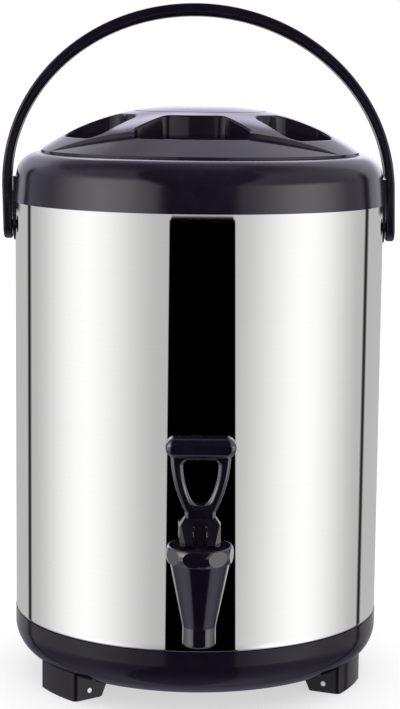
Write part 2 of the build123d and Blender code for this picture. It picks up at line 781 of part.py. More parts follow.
def lever_loop():
    """Tulip-shaped loop plate under the grip bar."""
    neck = LEVER_NECK_W / 2
    waist = LEVER_WAIST_W / 2
    top = LEVER_LOOP_W / 2
    low = CHEEK_SHOULDER
    outline = [
        Polyline((-neck, LEVER_NECK_UP), (-neck, low), (neck, low), (neck, LEVER_NECK_UP)),
        ThreePointArc((neck, LEVER_NECK_UP), (waist, LEVER_WAIST_UP), (top, BAR_UP)),
        Line((top, BAR_UP), (-top, BAR_UP)),
        ThreePointArc((-top, BAR_UP), (-waist, LEVER_WAIST_UP), (-neck, LEVER_NECK_UP)),
    ]
    high = LOOP_TOP_W / 2
    side = LOOP_WAIST_W / 2
    bend = LOOP_BEND_W / 2
    inside = [
        Line((high, LOOP_TOP_UP), (-high, LOOP_TOP_UP)),
        ThreePointArc((-high, LOOP_TOP_UP), (-side, LEVER_WAIST_UP), (-bend, LOOP_BEND_UP)),
        ThreePointArc((-bend, LOOP_BEND_UP), (0, LOOP_LOW_UP), (bend, LOOP_BEND_UP)),
        ThreePointArc((bend, LOOP_BEND_UP), (side, LEVER_WAIST_UP), (high, LOOP_TOP_UP)),
    ]
    hole = make_face(Curve() + inside)
    hole = fillet(hole.vertices().sort_by(Axis.Y)[-2:], LOOP_CORNER_R)
    plate = extrude(Plane.XZ * (make_face(Curve() + outline) - hole), LEVER_T / 2, both=True)
    rims = plate.faces().filter_by(Axis.Y)
    ends = rims.edges().filter_by(Axis.X).sort_by(Axis.Z)
    joined = ends[:2] + ends[-2:]
    return fillet([edge for edge in rims.edges() if edge not in joined], LEVER_EDGE_R)


def tap_lever():
    bar = extrude(Plane.XZ * SlotOverall(BAR_W, BAR_H), BAR_T / 2, both=True)
    bar = fillet(bar.faces().filter_by(Axis.Y).edges(), BAR_EDGE_R)
    lever = lever_loop() + Pos(0, 0, BAR_UP) * bar + lever_cheeks()
    slot_low = -cam_h - SLIP
    slot = Pos(0, 0, (SLOT_UP + slot_low) / 2) * Box(SLOT_W, BAR_T * 3, SLOT_UP - slot_low)
    slot += rod_x(SLOT_ROOF_R, -SLOT_W / 2, SLOT_W / 2)
    lever -= slot
    lever -= rod_x(LEVER_PIN_DIA / 2 + RUN, -CHEEK_W, CHEEK_W)
    return at_tap(Pos(0, 0, lever_pin_z) * lever)


def lever_pin():
    half = CHEEK_W / 2 - LOOSE
    return at_tap(rod_x(LEVER_PIN_DIA / 2, -half, half, lever_pin_z))


# Every piece by its name
pieces = {
    "outer_shell": outer_shell(),
    "inner_pot": inner_pot(),
    "foam_floor": foam_floor(),
    "foam_jacket": foam_jacket(),
    "base_tray": base_tray(),
    "foot_pins": foot_pins(),
    "shoulder_ring": shoulder_ring(),
    "bail_handle": bail_handle(),
    "pivot_pin_left": pivot_pin(-1),
    "pivot_pin_right": pivot_pin(1),
    "lid_cover": lid_cover(),
    "lid_liner": lid_liner(),
    "lid_foam": lid_foam(),
    "lid_gasket": lid_gasket(),
    "tap_body": tap_body(),
    "tap_bonnet": tap_bonnet(),
    "stem_seal": stem_seal(),
    "tap_stem": tap_stem(),
    "seat_cup": seat_cup(),
    "tap_spring": tap_spring(),
    "tap_lever": tap_lever(),
    "lever_pin": lever_pin(),
    "outer_washer": outer_washer(),
    "shank_sleeve": shank_sleeve(),
    "inner_washer": inner_washer(),
    "lock_nut": lock_nut(),
}
for number, name in enumerate(("foot_back", "foot_left", "foot_right")):
    pieces[name] = at_foot(number) * foot()

os.makedirs("parts", exist_ok=True)
for name, piece in pieces.items():
    export_step(Pos(0, barrel_y, 0) * piece, f"parts/{name}.step")
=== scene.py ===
import json
from collections import namedtuple
from math import cos, degrees, pi, radians, sin

import bmesh
import bpy
from bpy.props import FloatProperty, FloatVectorProperty, IntProperty, PointerProperty
from mathutils import Matrix, Vector


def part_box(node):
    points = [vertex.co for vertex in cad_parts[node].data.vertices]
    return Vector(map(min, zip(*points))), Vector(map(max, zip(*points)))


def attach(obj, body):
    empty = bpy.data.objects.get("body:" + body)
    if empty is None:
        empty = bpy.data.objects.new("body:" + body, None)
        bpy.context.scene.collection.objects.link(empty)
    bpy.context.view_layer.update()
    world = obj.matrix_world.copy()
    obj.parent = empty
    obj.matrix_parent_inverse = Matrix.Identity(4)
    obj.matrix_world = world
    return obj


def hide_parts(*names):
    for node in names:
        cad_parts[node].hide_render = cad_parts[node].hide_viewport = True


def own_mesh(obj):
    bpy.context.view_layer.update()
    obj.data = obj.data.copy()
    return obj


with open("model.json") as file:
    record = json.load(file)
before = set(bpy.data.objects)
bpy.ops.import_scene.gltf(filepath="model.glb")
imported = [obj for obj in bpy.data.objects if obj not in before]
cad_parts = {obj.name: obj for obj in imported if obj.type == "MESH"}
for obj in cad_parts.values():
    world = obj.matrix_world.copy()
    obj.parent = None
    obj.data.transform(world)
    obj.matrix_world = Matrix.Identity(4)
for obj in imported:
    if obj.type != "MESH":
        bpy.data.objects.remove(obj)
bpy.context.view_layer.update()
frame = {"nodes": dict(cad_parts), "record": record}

bl_info = {
    "name": "Insulated drink dispenser",
    "version": (1, 0, 0),
    "blender": (4, 5, 0),
    "location": "View3D > Sidebar > Dispenser",
    "description": "Gives the dispenser its steel, its moulded plastic and its studio",
    "category": "Object",
}

SHELL_LOW, SHELL_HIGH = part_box("outer_shell")
AXIS_Y = (SHELL_LOW.y + SHELL_HIGH.y) / 2
SHELL_R = (SHELL_HIGH.x - SHELL_LOW.x) / 2

# The material of each slot of the record
LOOKS = {
    "aubergine_plastic": "aubergine_gloss",
    "tap_plastic": "tap_gloss",
    "mirror_steel": "shell_polish",
    "pot_steel": "pot_sheet",
    "pin_steel": "pin_wire",
    "silicone": "seal_silicone",
    "foam": "cream_foam",
}

# Nodes whose finish differs from the rest of their slot
OWN_LOOKS = {
    "base_tray": "base_gloss",
    "foot_back": "base_gloss",
    "foot_left": "base_gloss",
    "foot_right": "base_gloss",
    "tap_lever": "lever_gloss",
    "tap_stem": "stem_matt",
}

# Nodes that the polished steel doesn't mirror
UNMIRRORED = ("tap_lever", "tap_stem", "lever_pin")

# Material making: the noise's mean, where dust starts and is full, and where the foam's plain
# colour starts over the painted shade in its cell hollows and is full
NOISE_MEAN = 0.5
DUST_EDGE = (0.35, 0.75)
PORE_SHADE_EDGE = (0.1, 0.6)

# Mesh making, in metres and radians
MERGE = 1e-6
ROLL_STEPS = 4
SHELL_CREASE = radians(40)
STRAP_CREASE = radians(35)
SPRING_CREASE = radians(60)
SPRING_WIRE_SIDES = 10
SPRING_TURN_STEPS = 24

# Floor, black card and camera, in metres and millimetres of sensor
FLOOR_HALF = 12
FLOOR_COLOUR = (0.45, 0.45, 0.45, 1)
FLOOR_GLOW = 0.60
CARD_LEFT, CARD_RIGHT = -0.052, 0.055
CARD_LOW, CARD_HIGH = 0.03, 0.125
CARD_Y = -0.200
CARD_COLOUR = (0.002, 0.002, 0.002, 1)
CARD_GONE = (0.075, 0.085)
SENSOR_WIDTH = 36
CAMERA_REACH = 100

WHITE = (1, 1, 1, 1)
BLACK = (0, 0, 0, 1)

# The studio that only reflections show. Its angles are in degrees: a side is counted from
# straight in front, negative to the left, and a rise from the horizon up. The wall's and the
# shade's edges towards the back, the left and the right are shares of the ray's direction. A
# pair is a soft edge, from the place where it starts to the place where it is full.
SoftBox = namedtuple("SoftBox", "middle reach strength")
Stands = namedtuple("Stands", "left right width")

LOW_LEFT_BOX = SoftBox(-73.0, 54.0, 0.55)
LOW_RIGHT_BOX = SoftBox(69.0, 54.0, 0.56)
LOW_STANDS = Stands(-130.6, 127.0, 2.0)
HIGH_LEFT_BOX = SoftBox(-60.0, 46.0, 2.0)
HIGH_RIGHT_BOX = SoftBox(66.0, 43.0, 2.0)
HIGH_STANDS = Stands(-134.0, 125.0, 3.0)
STAND_TONE = 0.05

# Where the lower and the upper studio meet, and the dark strip at the back of that line
HORIZON = (0.5, 1.8)
HORIZON_DROP = 4.6
HORIZON_DROP_SIDE = (60.0, 110.0)
STRIP_SIDE = (145.0, 156.0)
STRIP_FOOT = (-4.25, -4.05)
STRIP_TOP = (1.0, 0.2)
STRIP_COLOUR = (0.02, 0.02, 0.02, 1)

# Plain light for everything that isn't a reflection, weaker after the first bounces
SKY_SPREAD = (-0.6, 1.0)
SKY_LOW = 0.25
SKY_GAIN = 1.05
FIRST_BOUNCES = (2.9, 2.1)
LATER_SHARE = 0.15

# Dark gap between the softboxes: its leaning edges, its top corners and the line over it
GAP_TOP = -4.4
GAP_KINK = -18.0
GAP_LEFT = (-18.2, -17.5)
GAP_RIGHT = (22.1, 21.4)
GAP_LEFT_LEAN = 0.053
GAP_RIGHT_LEAN = 0.281
GAP_KINK_LEAN = 1.1
GAP_CORNER = (-4.41, -4.30)
GAP_CORNER_WIDTH = 1.3
GAP_LINE_FOOT = (-4.32, -4.22)
GAP_LINE_TOP = (-2.6, -3.6)

# Lower studio: room, fade towards the floor, and the floor itself
LOW_ROOM = 0.50
LOW_FADE = (-17.5, -27.0)
LOW_FADE_DEPTH = 0.62
UNDER_RISE = (-30.0, -75.0)
UNDER_TONE = 0.30
LOW_TINT_RISE = (-18.0, -27.0)
LOW_TINT = (1.0, 0.97, 1.22, 1)

# Brighter cores of the softboxes, under a line that rises to both sides
CORE_SIDE = 58.0
CORE_REACH = (34.0, 4.0)
CORE_TURN = (-10.0, 10.0)
CORE_LEFT = 0.40
CORE_RIGHT_MORE = 0.35
CORE_DIM = 0.2
CORE_LINE = -16.72
CORE_LINE_RISE = 0.65
CORE_LINE_SIDE = 130.0
CORE_LINE_EDGE = (-0.05, 0.15)
CORE_FOOT = (-24.0, -18.0)

# Upper studio: tops of the softboxes
TOPS_SIDE = 22.0
TOPS_SLOPE = 1.6
TOPS_EDGE = (12.0, -4.0)
LEFT_BOX_TOP = (35.0, 10.0)
RIGHT_BOX_TOP = (11.0, 4.0)
BOX_TINT = (1.03, 1.0, 0.98, 1)

# Upper studio: room round the softboxes, with a shade at the back left
ROOM_TONE = 0.55
ROOM_DIM = 0.12
ROOM_DIM_SIDE = (74.0, 106.0)
ROOM_DIM_RISE = (25.0, 8.0)
ROOM_BACK = 0.30
ROOM_BACK_SIDE = (128.0, 134.0)
SHADE_BACK = (-0.1, 0.3)
SHADE_LEFT = (-0.02, -0.25)
SHADE_RISE = (28.0, 42.0)
SHADE_DEPTH = 0.62
CEILING = (80.0, 40.0)
ROOM_TINT = (0.98, 0.96, 1.10, 1)

# Upper studio: back wall, with a lamp behind the lid's ribs
WALL_POWER = 3.0
WALL_GAIN = 1.05
WALL_LOW = 0.2
WALL_FRONT = (-0.3, 0.1)
WALL_TINT = (0.95, 0.92, 1.14, 1)
PATCH_NEAR = (0.0, 0.3)
PATCH_FAR = (0.65, 0.35)
PATCH_GAIN = 0.32
PATCH_LEFT = (0.0, -0.15)
PATCH_LEFT_LOSS = 0.45
LAMP_HALF = (0.225, 0.19)
LAMP_FOOT = (19.0, 32.0)
LAMP_TOP = (37.5, 35.5)
LAMP_GAIN = 1.3
LAMP_LEFT = (0.05, -0.05)
LAMP_EDGE = (8.0, 20.0)
LAMP_EDGE_LOSS = 0.58
LOW_PART = (24.0, 10.0)
WALL_HIDDEN = (132.0, 126.0)


# Shader helpers


def add(tree, kind, **sockets):
    """A node of one kind, with values set on its named inputs."""
    made = tree.nodes.new(kind)
    for name, value in sockets.items():
        made.inputs[name.replace("_", " ")].default_value = value
    return made


def wire(tree, source, target):
    tree.links.new(source, target)


def maths(tree, operation, first, second=0.0):
    """A Math node fed with sockets or plain numbers."""
    made = tree.nodes.new("ShaderNodeMath")
    made.operation = operation
    for socket, value in zip(made.inputs, (first, second)):
        if isinstance(value, (int, float)):
            socket.default_value = value
        else:
            wire(tree, value, socket)
    return made.outputs[0]


def plus(tree, first, *others):
    """The sum of sockets and plain numbers."""
    for other in others:
        first = maths(tree, "ADD", first, other)
    return first


def minus(tree, first, second):
    return maths(tree, "SUBTRACT", first, second)


def times(tree, first, *others):
    """The product of sockets and plain numbers."""
    for other in others:
        first = maths(tree, "MULTIPLY", first, other)
    return first


def size_of(tree, value):
    return maths(tree, "ABSOLUTE", value)


def outside(tree, mask):
    """What a mask leaves out."""
    return minus(tree, 1.0, mask)


def smooth(tree, value, low, high):
    """Soft step from 0 at low to 1 at high."""
    made = tree.nodes.new("ShaderNodeMapRange")
    made.interpolation_type = "SMOOTHSTEP"
    made.inputs["From Min"].default_value = low
    made.inputs["From Max"].default_value = high
    wire(tree, value, made.inputs["Value"])
    return made.outputs["Result"]


def between(tree, value, rising, falling):
    """Mask between two soft edges."""
    return times(tree, smooth(tree, value, *rising), smooth(tree, value, *falling))


def blend(tree, factor, first, second, mode="MIX"):
    """A colour Mix node fed with sockets or plain colours."""
    made = tree.nodes.new("ShaderNodeMix")
    made.data_type = "RGBA"
    made.blend_type = mode
    for name, value in (("Factor_Float", factor), ("A_Color", first), ("B_Color", second)):
        socket = next(s for s in made.inputs if s.identifier == name)
        if isinstance(value, bpy.types.NodeSocket):
            wire(tree, value, socket)
        else:
            socket.default_value = value
    return next(s for s in made.outputs if s.identifier == "Result_Color")


def tinted(tree, tone, colour):
    return blend(tree, 1.0, tone, colour, "MULTIPLY")


def group(name, inputs, outputs):
    """An empty shader node group with float inputs and the given outputs."""
    tree = bpy.data.node_groups.new(name, "ShaderNodeTree")
    for label, value in inputs.items():
        socket = tree.interface.new_socket(label, in_out="INPUT", socket_type="NodeSocketFloat")
        socket.default_value = value
    for label in outputs:
        tree.interface.new_socket(label, in_out="OUTPUT", socket_type="NodeSocketFloat")
    return tree, tree.nodes.new("NodeGroupInput"), tree.nodes.new("NodeGroupOutput")


def place_group(tree, name, **values):
    """A placed copy of a shader node group, with its own values."""
    made = tree.nodes.new("ShaderNodeGroup")
    made.node_tree = bpy.data.node_groups[name]
    for label, value in values.items():
        made.inputs[label.replace("_", " ")].default_value = value
    return made


def material(name):
    """The tree and the Principled shader of a new material."""
    made = bpy.data.materials.new(name)
    made.use_nodes = True
    return made.node_tree, made.node_tree.nodes["Principled BSDF"]


def opaque(colour, gain=1.0, lift=0.0):
    """A colour with its alpha, made lighter or darker."""
    return tuple(min(1.0, channel * gain + lift) for channel in colour) + (1,)


def bump(tree, shader, height, depth):
    """A Bump node from a height to the shader's normal."""
    made = add(tree, "ShaderNodeBump", Strength=1.0, Distance=depth)
    wire(tree, height, made.inputs["Height"])
    wire(tree, made.outputs["Normal"], shader.inputs["Normal"])


# Shared effects


def moulded_skin():
    """Slight ripple and handling marks of a glossy moulded surface."""
    tree, start, end = group(
        "moulded_skin",
        {"Roughness": 0.16, "Ripple Scale": 90.0, "Rub": 0.05},
        ("Roughness", "Height", "Tone"),
    )
    coords = add(tree, "ShaderNodeTexCoord")
    ripple = add(tree, "ShaderNodeTexNoise", Detail=2.0)
    wire(tree, coords.outputs["Object"], ripple.inputs["Vector"])
    wire(tree, start.outputs["Ripple Scale"], ripple.inputs["Scale"])
    marks = add(tree, "ShaderNodeTexNoise", Scale=38.0, Detail=8.0, Roughness=0.7)
    wire(tree, coords.outputs["Object"], marks.inputs["Vector"])
    rubbed = times(tree, minus(tree, marks.outputs["Fac"], NOISE_MEAN), start.outputs["Rub"])
    wire(tree, plus(tree, start.outputs["Roughness"], rubbed), end.inputs["Roughness"])
    wire(tree, ripple.outputs["Fac"], end.inputs["Height"])
    wire(tree, marks.outputs["Fac"], end.inputs["Tone"])


def drawn_grain():
    """Fine lines of drawn or brushed steel that run level round the piece."""
    tree, start, end = group(
        "drawn_grain",
        {"Roughness": 0.05, "Spread": 0.02, "Across": 900.0, "Along": 6.0},
        ("Roughness", "Height"),
    )
    coords = add(tree, "ShaderNodeTexCoord")
    parts = add(tree, "ShaderNodeSeparateXYZ")
    wire(tree, coords.outputs["Object"], parts.inputs["Vector"])
    joined = add(tree, "ShaderNodeCombineXYZ")
    for axis, scale in (("X", "Along"), ("Y", "Along"), ("Z", "Across")):
        stretched = times(tree, parts.outputs[axis], start.outputs[scale])
        wire(tree, stretched, joined.inputs[axis])
    lines = add(tree, "ShaderNodeTexNoise", Scale=1.0, Detail=3.0)
    wire(tree, joined.outputs["Vector"], lines.inputs["Vector"])
    spread = times(tree, minus(tree, lines.outputs["Fac"], NOISE_MEAN), start.outputs["Spread"])
    wire(tree, plus(tree, start.outputs["Roughness"], spread), end.inputs["Roughness"])
    wire(tree, lines.outputs["Fac"], end.inputs["Height"])


# Materials


def gloss_plastic(name, colour, roughness, ripple, rub, ior=1.54):
    """Dark glossy moulded plastic with a little ripple."""
    tree, shader = material(name)
    shader.inputs["IOR"].default_value = ior
    skin = place_group(tree, "moulded_skin", Roughness=roughness, Ripple_Scale=ripple, Rub=rub)
    tone = smooth(tree, skin.outputs["Tone"], *DUST_EDGE)
    dusty = opaque(colour, gain=1.5, lift=0.001)
    wire(tree, blend(tree, tone, opaque(colour), dusty), shader.inputs["Base Color"])
    wire(tree, skin.outputs["Roughness"], shader.inputs["Roughness"])
    bump(tree, shader, skin.outputs["Height"], depth=0.00002)


def steel(name, colour, roughness, spread, across, along, depth):
    """Steel sheet or pin with lines of its working."""
    tree, shader = material(name)
    shader.inputs["Metallic"].default_value = 1.0
    grain = place_group(
        tree, "drawn_grain", Roughness=roughness, Spread=spread, Across=across, Along=along
    )
    height = grain.outputs["Height"]
    darker = opaque(colour, gain=0.96)
    wire(tree, blend(tree, height, darker, opaque(colour)), shader.inputs["Base Color"])
    wire(tree, grain.outputs["Roughness"], shader.inputs["Roughness"])
    bump(tree, shader, height, depth)


def silicone(name, colour):
    """Matt milky rubber."""
    tree, shader = material(name)
    skin = place_group(tree, "moulded_skin", Roughness=0.55, Ripple_Scale=400.0, Rub=0.15)
    pale = opaque(colour, gain=1.12)
    wire(tree, blend(tree, skin.outputs["Tone"], opaque(colour), pale), shader.inputs["Base Color"])
    wire(tree, skin.outputs["Roughness"], shader.inputs["Roughness"])
    bump(tree, shader, skin.outputs["Height"], depth=0.00005)


def foam(name, colour):
    """Yellowish rigid foam with open cells, with painted shade in the cell hollows."""
    tree, shader = material(name)
    shader.inputs["Roughness"].default_value = 0.9
    coords = add(tree, "ShaderNodeTexCoord")
    cells = add(tree, "ShaderNodeTexVoronoi", Scale=700.0)
    wire(tree, coords.outputs["Object"], cells.inputs["Vector"])
    # Painted shade: the colour goes darker in the cell hollows, where the bump is low
    tone = smooth(tree, cells.outputs["Distance"], *PORE_SHADE_EDGE)
    pore_shade = opaque(colour, gain=0.7)
    wire(tree, blend(tree, tone, pore_shade, opaque(colour)), shader.inputs["Base Color"])
    bump(tree, shader, cells.outputs["Distance"], depth=0.0006)


def matt_card(name, colour):
    """Surface of the stage that shines nowhere."""
    tree, shader = material(name)
    shader.inputs["Base Color"].default_value = colour
    shader.inputs["Roughness"].default_value = 1.0
    shader.inputs["Specular IOR Level"].default_value = 0.0
    return tree, shader


def show_either(tree, factor, first, second):
    """Sends one of two shaders to a material's surface."""
    chosen = add(tree, "ShaderNodeMixShader")
    wire(tree, factor, chosen.inputs["Fac"])
    wire(tree, first, chosen.inputs[1])
    wire(tree, second, chosen.inputs[2])
    wire(tree, chosen.outputs["Shader"], tree.nodes["Material Output"].inputs["Surface"])


# Mesh helpers


def finish_piece(name, mesh, body, nodes, slot):
    """Turns a bmesh into a smooth piece that rides on a body and stands for CAD nodes."""
    data = bpy.data.meshes.new(name)
    mesh.to_mesh(data)
    mesh.free()
    data.shade_smooth()
    data.materials.append(bpy.data.materials[LOOKS[slot]])
    piece = bpy.data.objects.new(name, data)
    bpy.context.scene.collection.objects.link(piece)
    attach(piece, body)
    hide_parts(*nodes)
    return piece


def finish_stage(name, mesh, look):
    """Turns a bmesh into a part of the stage."""
    data = bpy.data.meshes.new(name)
    mesh.to_mesh(data)
    mesh.free()
    data.materials.append(bpy.data.materials[look])
    made = bpy.data.objects.new(name, data)
    bpy.context.scene.collection.objects.link(made)
    return made


def turn_profile(points, centre_y, segments):
    """A closed ring turned from radius and height pairs about an upright axis."""
    mesh = bmesh.new()
    corners = [mesh.verts.new((radius, centre_y, height)) for radius, height in points]
    edges = [mesh.edges.new(pair) for pair in zip(corners, corners[1:] + corners[:1])]
    bmesh.ops.spin(
        mesh,
        geom=corners + edges,
        cent=(0, centre_y, 0),
        axis=(0, 0, 1),
        angle=2 * pi,
        steps=segments,
        use_merge=True,
    )
    bmesh.ops.remove_doubles(mesh, verts=mesh.verts, dist=MERGE)
    bmesh.ops.recalc_face_normals(mesh, faces=mesh.faces)
    return mesh


def crease(piece, angle):
    """Keeps edges sharper than an angle from being shaded smooth."""
    mesh = bmesh.new()
    mesh.from_mesh(piece.data)
    for edge in mesh.edges:
        edge.smooth = not (edge.is_manifold and edge.calc_face_angle(0) > angle)
    mesh.to_mesh(piece.data)
    mesh.free()


# Stage


def pale_floor():
    """Floor that takes the shadow and looks white to the camera."""
    mesh = bmesh.new()
    bmesh.ops.create_grid(mesh, x_segments=1, y_segments=1, size=FLOOR_HALF)
    tree, shader = matt_card("pale_floor", FLOOR_COLOUR)
    path = add(tree, "ShaderNodeLightPath")
    glow = add(tree, "ShaderNodeEmission", Strength=FLOOR_GLOW)
    both = add(tree, "ShaderNodeAddShader")
    plain = shader.outputs["BSDF"]
    wire(tree, plain, both.inputs[0])
    wire(tree, glow.outputs["Emission"], both.inputs[1])
    show_either(tree, path.outputs["Is Camera Ray"], plain, both.outputs["Shader"])
    floor = finish_stage("floor", mesh, "pale_floor")
    floor.visible_glossy = False


def black_card():
    """Card in front of the tap that only surfaces close to it reflect."""
    mesh = bmesh.new()
    outline = (
        (CARD_LEFT, CARD_LOW),
        (CARD_RIGHT, CARD_LOW),
        (CARD_RIGHT, CARD_HIGH),
        (CARD_LEFT, CARD_HIGH),
    )
    mesh.faces.new([mesh.verts.new((x, CARD_Y, z)) for x, z in outline])
    tree, shader = matt_card("black_card", CARD_COLOUR)
    path = add(tree, "ShaderNodeLightPath")
    clear = add(tree, "ShaderNodeBsdfTransparent")
    gone = smooth(tree, path.outputs["Ray Length"], *CARD_GONE)
    show_either(tree, gone, shader.outputs["BSDF"], clear.outputs["BSDF"])
    card = finish_stage("flag", mesh, "black_card")
    card.visible_camera = False
    card.visible_diffuse = False
    card.visible_shadow = False


def softbox(tree, side, box):
    """Light of an upright softbox that fades towards its edges."""
    off = size_of(tree, minus(tree, side, box.middle))
    return times(tree, smooth(tree, off, box.reach, 0.0), box.strength)


def stand_shade(tree, side, stands):
    """Dark upright stands at the far edges of the softboxes."""
    left = size_of(tree, minus(tree, side, stands.left))
    right = size_of(tree, minus(tree, side, stands.right))
    nearest = maths(tree, "MINIMUM", left, right)
    clear = smooth(tree, nearest, 0.5 * stands.width, 2.0 * stands.width)
    return plus(tree, times(tree, clear, 1 - STAND_TONE), STAND_TONE)


def dark_gap(tree, side, rise):
    """Mask of the dark gap between the softboxes, in front of the tap."""
    drop = minus(tree, rise, GAP_TOP)
    below = maths(tree, "MINIMUM", minus(tree, rise, GAP_KINK), 0.0)
    lean = plus(tree, times(tree, drop, GAP_LEFT_LEAN), times(tree, below, GAP_KINK_LEAN))
    corner = times(tree, smooth(tree, rise, *GAP_CORNER), GAP_CORNER_WIDTH)
    left = minus(tree, minus(tree, side, lean), corner)
    right = plus(tree, side, times(tree, drop, GAP_RIGHT_LEAN), corner)
    gap = times(tree, smooth(tree, left, *GAP_LEFT), smooth(tree, right, *GAP_RIGHT))
    line = between(tree, rise, GAP_LINE_FOOT, GAP_LINE_TOP)
    return times(tree, gap, outside(tree, line))


def low_cores(tree, side, rise):
    """Brighter cores of the softboxes at the height that the base shows."""
    away = size_of(tree, side)
    off = size_of(tree, minus(tree, away, CORE_SIDE))
    share = plus(tree, times(tree, smooth(tree, side, *CORE_TURN), CORE_RIGHT_MORE), CORE_LEFT)
    core = times(tree, smooth(tree, off, *CORE_REACH), share)
    bow = maths(tree, "POWER", maths(tree, "DIVIDE", away, CORE_LINE_SIDE), 2.0)
    line = plus(tree, times(tree, bow, CORE_LINE_RISE), CORE_LINE)
    below = smooth(tree, minus(tree, line, rise), *CORE_LINE_EDGE)
    below = times(tree, below, smooth(tree, rise, *CORE_FOOT))
    return plus(tree, times(tree, minus(tree, core, CORE_DIM), below), 1.0)


def lower_studio(tree, side, rise, open_part):
    """The studio below the horizon: two softboxes in a grey room, and the floor under them."""
    left = softbox(tree, side, LOW_LEFT_BOX)
    right = softbox(tree, side, LOW_RIGHT_BOX)
    fade = times(tree, smooth(tree, rise, *LOW_FADE), LOW_FADE_DEPTH)
    tone = times(
        tree,
        plus(tree, left, right, LOW_ROOM),
        outside(tree, fade),
        open_part,
        stand_shade(tree, side, LOW_STANDS),
        low_cores(tree, side, rise),
    )
    tone = plus(tree, tone, times(tree, smooth(tree, rise, *UNDER_RISE), UNDER_TONE))
    tint = blend(tree, smooth(tree, rise, *LOW_TINT_RISE), WHITE, LOW_TINT)
    return tinted(tree, tone, tint)


def box_tops(tree, side, rise):
    """Light of the softboxes above the horizon."""
    left = times(tree, softbox(tree, side, HIGH_LEFT_BOX), smooth(tree, rise, *LEFT_BOX_TOP))
    right = times(tree, softbox(tree, side, HIGH_RIGHT_BOX), smooth(tree, rise, *RIGHT_BOX_TOP))
    return plus(tree, left, right)


def upper_room(tree, away, rise, right_hand, back):
    """Light of the room round the softboxes, up to a dark ceiling."""
    dim = times(tree, smooth(tree, away, *ROOM_DIM_SIDE), smooth(tree, rise, *ROOM_DIM_RISE))
    room = minus(tree, ROOM_TONE, times(tree, dim, ROOM_DIM))
    room = plus(tree, room, times(tree, smooth(tree, away, *ROOM_BACK_SIDE), ROOM_BACK))
    shade = times(
        tree,
        smooth(tree, back, *SHADE_BACK),
        smooth(tree, right_hand, *SHADE_LEFT),
        smooth(tree, rise, *SHADE_RISE),
        SHADE_DEPTH,
    )
    return times(tree, room, outside(tree, shade), smooth(tree, rise, *CEILING))


def back_wall(tree, rise, right_hand, back):
    """Pale wall behind the dispenser, with a lamp in its middle and a patch on its right."""
    facing = maths(tree, "POWER", maths(tree, "MAXIMUM", back, 0.0), WALL_POWER)
    wall = plus(tree, times(tree, facing, WALL_GAIN), WALL_LOW)
    wall = times(tree, wall, smooth(tree, back, *WALL_FRONT))
    loss = times(tree, smooth(tree, right_hand, *PATCH_LEFT), PATCH_LEFT_LOSS)
    patch = minus(tree, between(tree, right_hand, PATCH_NEAR, PATCH_FAR), loss)
    wall = times(tree, wall, plus(tree, times(tree, patch, PATCH_GAIN), 1.0))
    middle = smooth(tree, size_of(tree, right_hand), *LAMP_HALF)
    lamp = times(tree, between(tree, rise, LAMP_FOOT, LAMP_TOP), middle, LAMP_GAIN)
    lamp = times(tree, lamp, plus(tree, smooth(tree, right_hand, *LAMP_LEFT), 1.0))
    edge = times(tree, smooth(tree, rise, *LAMP_EDGE), outside(tree, middle), LAMP_EDGE_LOSS)
    wall = times(tree, wall, plus(tree, minus(tree, lamp, edge), 1.0))
    return tinted(tree, wall, WALL_TINT)


def upper_studio(tree, side, rise, open_part, right_hand, back):
    """The studio above the horizon: box tops, a dark ceiling and a pale back wall."""
    away = size_of(tree, side)
    slope = times(tree, minus(tree, away, TOPS_SIDE), TOPS_SLOPE)
    beside = times(tree, smooth(tree, minus(tree, rise, slope), *TOPS_EDGE), open_part)
    boxes = tinted(tree, times(tree, box_tops(tree, side, rise), beside), BOX_TINT)
    room = times(tree, upper_room(tree, away, rise, right_hand, back), beside)
    boxes = blend(tree, 1.0, boxes, tinted(tree, room, ROOM_TINT), "ADD")
    low_part = smooth(tree, rise, *LOW_PART)
    hidden = times(tree, low_part, smooth(tree, away, *WALL_HIDDEN))
    wall = blend(tree, hidden, back_wall(tree, rise, right_hand, back), BLACK)
    shown = blend(tree, 1.0, boxes, wall, "LIGHTEN")
    return blend(tree, low_part, shown, stand_shade(tree, side, HIGH_STANDS), "MULTIPLY")


def mirrored_studio(tree, side, rise, right_hand, back):
    """The whole studio as reflections show it."""
    open_part = outside(tree, dark_gap(tree, side, rise))
    low = lower_studio(tree, side, rise, open_part)
    high = upper_studio(tree, side, rise, open_part, right_hand, back)
    away = size_of(tree, side)
    dropped = times(tree, smooth(tree, away, *HORIZON_DROP_SIDE), HORIZON_DROP)
    seen = blend(tree, smooth(tree, plus(tree, rise, dropped), *HORIZON), low, high)
    strip = between(tree, rise, STRIP_FOOT, STRIP_TOP)
    strip = times(tree, smooth(tree, away, *STRIP_SIDE), strip)
    return blend(tree, strip, seen, STRIP_COLOUR)


